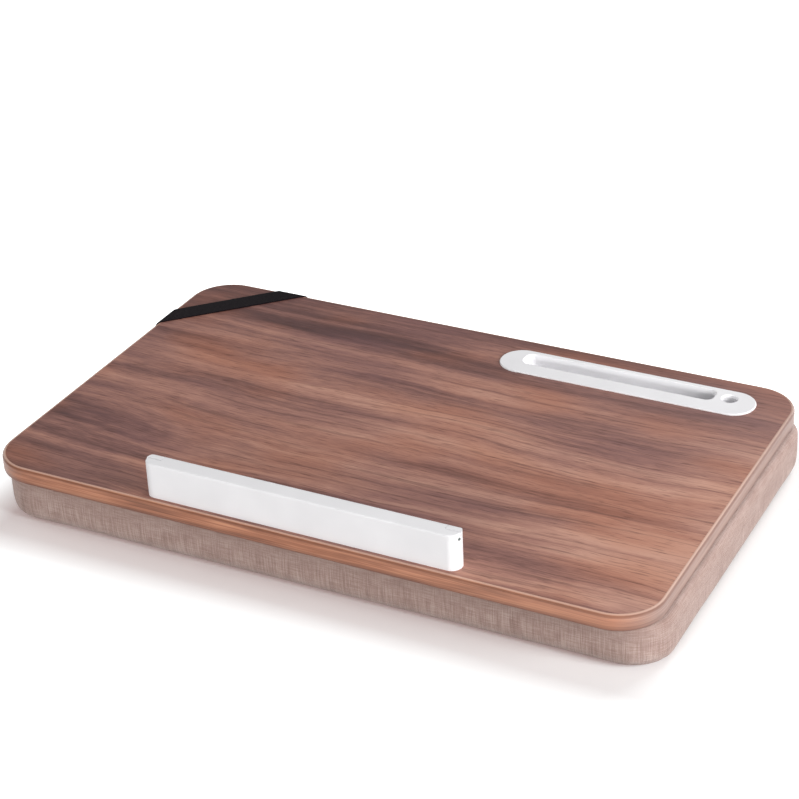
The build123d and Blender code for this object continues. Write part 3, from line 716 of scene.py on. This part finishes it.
def unrolled_place(place):
    """How far round from the rear left corner and how high a point is on the unrolled cloth."""
    x = place.x if place.x < 0 else place.x * half_x / (half_x + cover_spread)
    y = place.y - middle_y
    left, right, front = x < -straight_x, x > straight_x, y < -straight_y
    rear = y > straight_y
    if not (left or right or front or rear):
        sideways = half_x - abs(x) < half_y - abs(y)
        left, right = sideways and x < 0, sideways and x >= 0
        front, rear = not sideways and y < 0, not sideways and y >= 0
    if (left or right) and (front or rear):
        out_x = abs(x) - straight_x
        out_y = abs(y) - straight_y
        turned = math.atan2(out_x, out_y) * cover_corner
        inwards = cover_corner - math.hypot(out_x, out_y)
    elif left or right:
        inwards = half_x - abs(x)
    else:
        inwards = half_y - abs(y)
    if left and front:
        around = 2 * straight_y + bend - turned
    elif front and right:
        around = 2 * (straight_x + straight_y) + bend + turned
    elif right and rear:
        around = 2 * straight_x + 4 * straight_y + 3 * bend - turned
    elif left and rear:
        around = 4 * (straight_x + straight_y) + 3 * bend + turned
    elif left:
        around = straight_y - y
    elif front:
        around = 2 * straight_y + bend + x + straight_x
    elif right:
        around = 2 * (straight_x + straight_y) + 2 * bend + y + straight_y
    else:
        around = 2 * straight_x + 4 * straight_y + 3 * bend + straight_x - x
    high = place.z + inwards * (2 * place.z / cover_ceiling - 1) ** 3
    return around, high


def unroll(piece):
    """Gives a piece a UV map of its place on the unrolled cloth, in metres."""
    for old in list(piece.data.uv_layers):
        piece.data.uv_layers.remove(old)
    layer = piece.data.uv_layers.new(name="cloth").data
    spots = [unrolled_place(v.co) for v in piece.data.vertices]
    for face in piece.data.polygons:
        corners = [spots[k] for k in face.vertices]
        furthest = max(around for around, high in corners)
        for loop, (around, high) in zip(face.loop_indices, corners):
            if furthest - around > cover_around / 2:
                around += cover_around
            layer[loop].uv = (around, high)


# The opening for the zip is cut out of the rear wall
zip_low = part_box("zipper_tape_lower")[0]
zip_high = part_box("zipper_tape_upper")[1]
zip_middle = (zip_low.z + zip_high.z) / 2
zip_reach = 206.0 * mm
zip_half_height = 5.5 * mm
cutter_room = 8.0 * mm
recess = add_block(
    "zip_recess",
    Vector((-zip_reach, zip_low.y, zip_middle - zip_half_height)),
    Vector((zip_reach, cover_rear + cutter_room, zip_middle + zip_half_height)),
)
bpy.ops.object.select_all(action="DESELECT")
cover.select_set(True)
bpy.context.view_layer.objects.active = cover
bpy.ops.object.modifier_add(type="BOOLEAN")
cover.modifiers[-1].operation = "DIFFERENCE"
cover.modifiers[-1].object = recess
bpy.ops.object.modifier_apply(modifier=cover.modifiers[-1].name)
bpy.data.objects.remove(recess)
unroll(cover)
bpy.ops.object.shade_smooth_by_angle(angle=math.radians(40))

linen = Finish("linen", Specular_IOR_Level=0.2, Sheen_Weight=0.35, Sheen_Roughness=0.6)
u, v = linen.uv_place()
thread_pitch = 0.62 * mm
thread_turn = 2 * math.pi / thread_pitch
standing = linen.noise(u * 980.0, v * 34.0, detail=3.0, roughness=0.65)
lying = linen.noise(u * 60.0 + 5.0, v * 1100.0, detail=3.0, roughness=0.65)
mottle = linen.noise(u * 42.0, v * 60.0 + 9.0, detail=2.0)
weave = (u * thread_turn).sine() * (v * thread_turn).sine()
top_edge = v.share(30 * mm, 36 * mm)
upright = (standing - 0.5) * (1 - top_edge * 0.7)
linen_tone = upright * 0.75 + (lying - 0.5) * 0.55 + (mottle - 0.5) * 0.25
linen_tone = linen_tone + weave * 0.06 + 0.5
linen_colour = linen.ramp(
    linen_tone,
    (0.20, srgb(124, 97, 88)),
    (0.45, srgb(162, 132, 122)),
    (0.60, srgb(184, 158, 149)),
    (0.85, srgb(208, 190, 182)),
)
linen.finish(
    linen_colour,
    roughness=0.85 + (standing - 0.5) * 0.2,
    height=weave * 0.35 + standing + lying,
    depth=0.22 * mm,
)
cover.data.materials.append(linen.material)
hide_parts("cover_side_wall")
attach(cover, "desk")

# Cushion bottom: a darker hard-wearing cloth, cut to the cushion's outline and sewn inside the
# rolled foot of the cover. It is flat where the cushion stands.
bottom_low, bottom_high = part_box("cover_bottom_panel")
bottom = add_block("cushion_bottom_cloth", bottom_low, bottom_high)
bottom_corner = 23.0 * mm
bpy.ops.object.mode_set(mode="EDIT")
pick_edges(bottom, lambda a, b: abs(a.z - b.z) > near)
bpy.ops.mesh.bevel(offset=bottom_corner, segments=10, affect="EDGES")
bpy.ops.object.mode_set(mode="OBJECT")
shape_cushion(bottom)
bottom_cloth = Finish("bottom_fabric", Roughness=0.9)
x, y, z = bottom_cloth.object_place()
felt = bottom_cloth.noise(x * 800.0, y * 800.0, detail=4.0, roughness=0.7)
bottom_colour = bottom_cloth.ramp(felt, (0.3, srgb(82, 76, 72)), (0.7, srgb(108, 100, 94)))
bottom_cloth.finish(bottom_colour, height=felt, depth=0.15 * mm)
bottom.data.materials.append(bottom_cloth.material)
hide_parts("cover_bottom_panel")
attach(bottom, "desk")

# Foam core: one block of open cell foam, cut a little smaller than the cover that it fills. It
# goes in through the zip and is held by the tight cloth alone.
foam_low, foam_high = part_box("foam_core")
foam_room = 3.5 * mm
foam = add_cushion_form(
    "foam_block",
    Vector((foam_room - half_x, cover_front + foam_room, foam_low.z)),
    Vector((half_x - foam_room, cover_rear - foam_room, foam_high.z)),
    cover_corner,
    cover_foot_round + foam_room,
    cover_top_round,
)
shape_cushion(foam)
foam_finish = Finish("foam", Roughness=0.95)
x, y, z = foam_finish.object_place()
cells = foam_finish.noise(x * 900.0, y * 900.0, z * 900.0, detail=3.0)
foam_colour = foam_finish.ramp(cells, (0.3, srgb(214, 208, 186)), (0.7, srgb(238, 234, 216)))
foam_finish.finish(foam_colour, height=cells, depth=0.3 * mm)
foam.data.materials.append(foam_finish.material)
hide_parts("foam_core")
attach(foam, "desk")

# Zip: nylon coils sewn on two woven tapes, which sit behind the opening in the cushion's rear
# wall. The foam goes in and out through it.
tape_finish = Finish("zip_tape", Roughness=0.85)
x, y, z = tape_finish.object_place()
tape_pitch = 0.8 * mm
twill = ((x + z) * (2 * math.pi / tape_pitch)).sine()
tape_fuzz = tape_finish.noise(x * 900.0, y * 900.0, z * 900.0, detail=2.0)
tape_colour = tape_finish.ramp(
    twill * 0.2 + tape_fuzz, (0.2, srgb(120, 100, 92)), (0.8, srgb(158, 138, 128))
)
tape_finish.finish(tape_colour, height=twill, depth=0.1 * mm)
coil_finish = Finish("zip_coil", Roughness=0.4)
x, y, z = coil_finish.object_place()
coil_marks = coil_finish.noise(x * 500.0, y * 500.0, z * 500.0, detail=2.0)
coil_colour = coil_finish.ramp(coil_marks, (0.3, srgb(124, 104, 94)), (0.7, srgb(146, 124, 112)))
coil_finish.finish(coil_colour, height=coil_marks, depth=0.02 * mm)
coil_pitch = 1.3 * mm
coil_count = 307
coil_radius = 0.7 * mm
coil_wire = 0.3 * mm
coil_tilt = math.radians(80)
coil_stretch = 1.25
coil_end = 0.6 * mm
tape_soft_edge = 0.2 * mm
for name in ("upper", "lower"):
    tape_low, tape_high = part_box("zipper_tape_" + name)
    tape = add_block("zip_tape_" + name, tape_low, tape_high)
    bpy.ops.object.mode_set(mode="EDIT")
    pick_edges(tape, lambda a, b: abs(a.x - b.x) > near)
    bpy.ops.mesh.bevel(offset=tape_soft_edge, segments=2, affect="EDGES")
    bpy.ops.object.mode_set(mode="OBJECT")
    tape.data.materials.append(tape_finish.material)
    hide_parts("zipper_tape_" + name)
    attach(tape, "desk")

    coil_low, coil_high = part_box("zipper_coil_" + name)
    coil_middle = (coil_low + coil_high) / 2
    bpy.ops.mesh.primitive_torus_add(
        major_segments=8,
        minor_segments=4,
        major_radius=coil_radius,
        minor_radius=coil_wire,
        location=(coil_low.x + coil_end, coil_middle.y, coil_middle.z),
        rotation=(0, coil_tilt, 0),
    )
    coil = bpy.context.object
    coil.name = "zip_coil_" + name
    bpy.ops.object.transform_apply(location=True, rotation=True, scale=True)
    for vertex in coil.data.vertices:
        vertex.co.z = coil_middle.z + (vertex.co.z - coil_middle.z) * coil_stretch
    bpy.ops.object.modifier_add(type="ARRAY")
    coil.modifiers[-1].count = coil_count
    coil.modifiers[-1].use_relative_offset = False
    coil.modifiers[-1].use_constant_offset = True
    coil.modifiers[-1].constant_offset_displace = (coil_pitch, 0, 0)
    bpy.ops.object.modifier_apply(modifier=coil.modifiers[-1].name)
    bpy.ops.object.shade_smooth()
    coil.data.materials.append(coil_finish.material)
    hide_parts("zipper_coil_" + name)
    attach(coil, "desk")

# Zip topstitching: two rows of lockstitch in a paler thread that hold the cover's folded cloth to
# the tapes, one above the opening and one below it.
thread = Finish("topstitch_thread", Roughness=0.7)
x, y, z = thread.object_place()
twist = thread.noise(x * 2400.0, y * 700.0, z * 2400.0, detail=2.0)
thread_colour = thread.ramp(twist, (0.3, srgb(168, 144, 132)), (0.7, srgb(206, 186, 175)))
thread.finish(thread_colour, height=twist, depth=0.05 * mm)
stitch_radius = 0.3 * mm
stitch_soft_edge = 0.18 * mm
stitch_length = 2.4 * mm
stitch_pitch = 3.2 * mm
stitch_margin = 2.5 * mm
stitch_proud = 0.25 * mm
for name, side in (("upper", 1), ("lower", -1)):
    bpy.ops.mesh.primitive_cylinder_add(
        vertices=8,
        radius=stitch_radius,
        depth=stitch_length,
        location=(
            stitch_pitch / 2 - zip_reach,
            cover_rear + stitch_proud,
            zip_middle + side * (zip_half_height + stitch_margin),
        ),
        rotation=(0, quarter, 0),
    )
    stitches = bpy.context.object
    stitches.name = "zip_topstitch_" + name
    bpy.ops.object.transform_apply(location=True, rotation=True, scale=True)
    bpy.ops.object.modifier_add(type="BEVEL")
    stitches.modifiers[-1].width = stitch_soft_edge
    stitches.modifiers[-1].segments = 2
    stitches.modifiers[-1].angle_limit = math.radians(60)
    bpy.ops.object.modifier_apply(modifier=stitches.modifiers[-1].name)
    bpy.ops.object.modifier_add(type="ARRAY")
    stitches.modifiers[-1].count = int(2 * zip_reach / stitch_pitch)
    stitches.modifiers[-1].use_relative_offset = False
    stitches.modifiers[-1].use_constant_offset = True
    stitches.modifiers[-1].constant_offset_displace = (stitch_pitch, 0, 0)
    bpy.ops.object.modifier_apply(modifier=stitches.modifiers[-1].name)
    bpy.ops.object.shade_smooth_by_angle(angle=math.radians(50))
    stitches.data.materials.append(thread.material)
    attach(stitches, "desk")

# Zip metal: the die-cast slider, its pull and the two stops clamped on the ends of the coils.
# Their plating is rubbed brighter in places.
zinc = Finish("zip_metal", Metallic=1.0)
x, y, z = zinc.object_place()
rubbed = zinc.noise(x * 260.0, y * 260.0, z * 260.0, detail=3.0)
zinc_colour = zinc.ramp(rubbed, (0.3, srgb(150, 148, 146)), (0.7, srgb(182, 179, 174)))
zinc.finish(zinc_colour, roughness=0.26 + rubbed * 0.22, height=rubbed, depth=0.02 * mm)
for zip_node in ("zipper_slider", "zipper_pull", "zipper_stops"):
    give(zip_node, zinc.material)
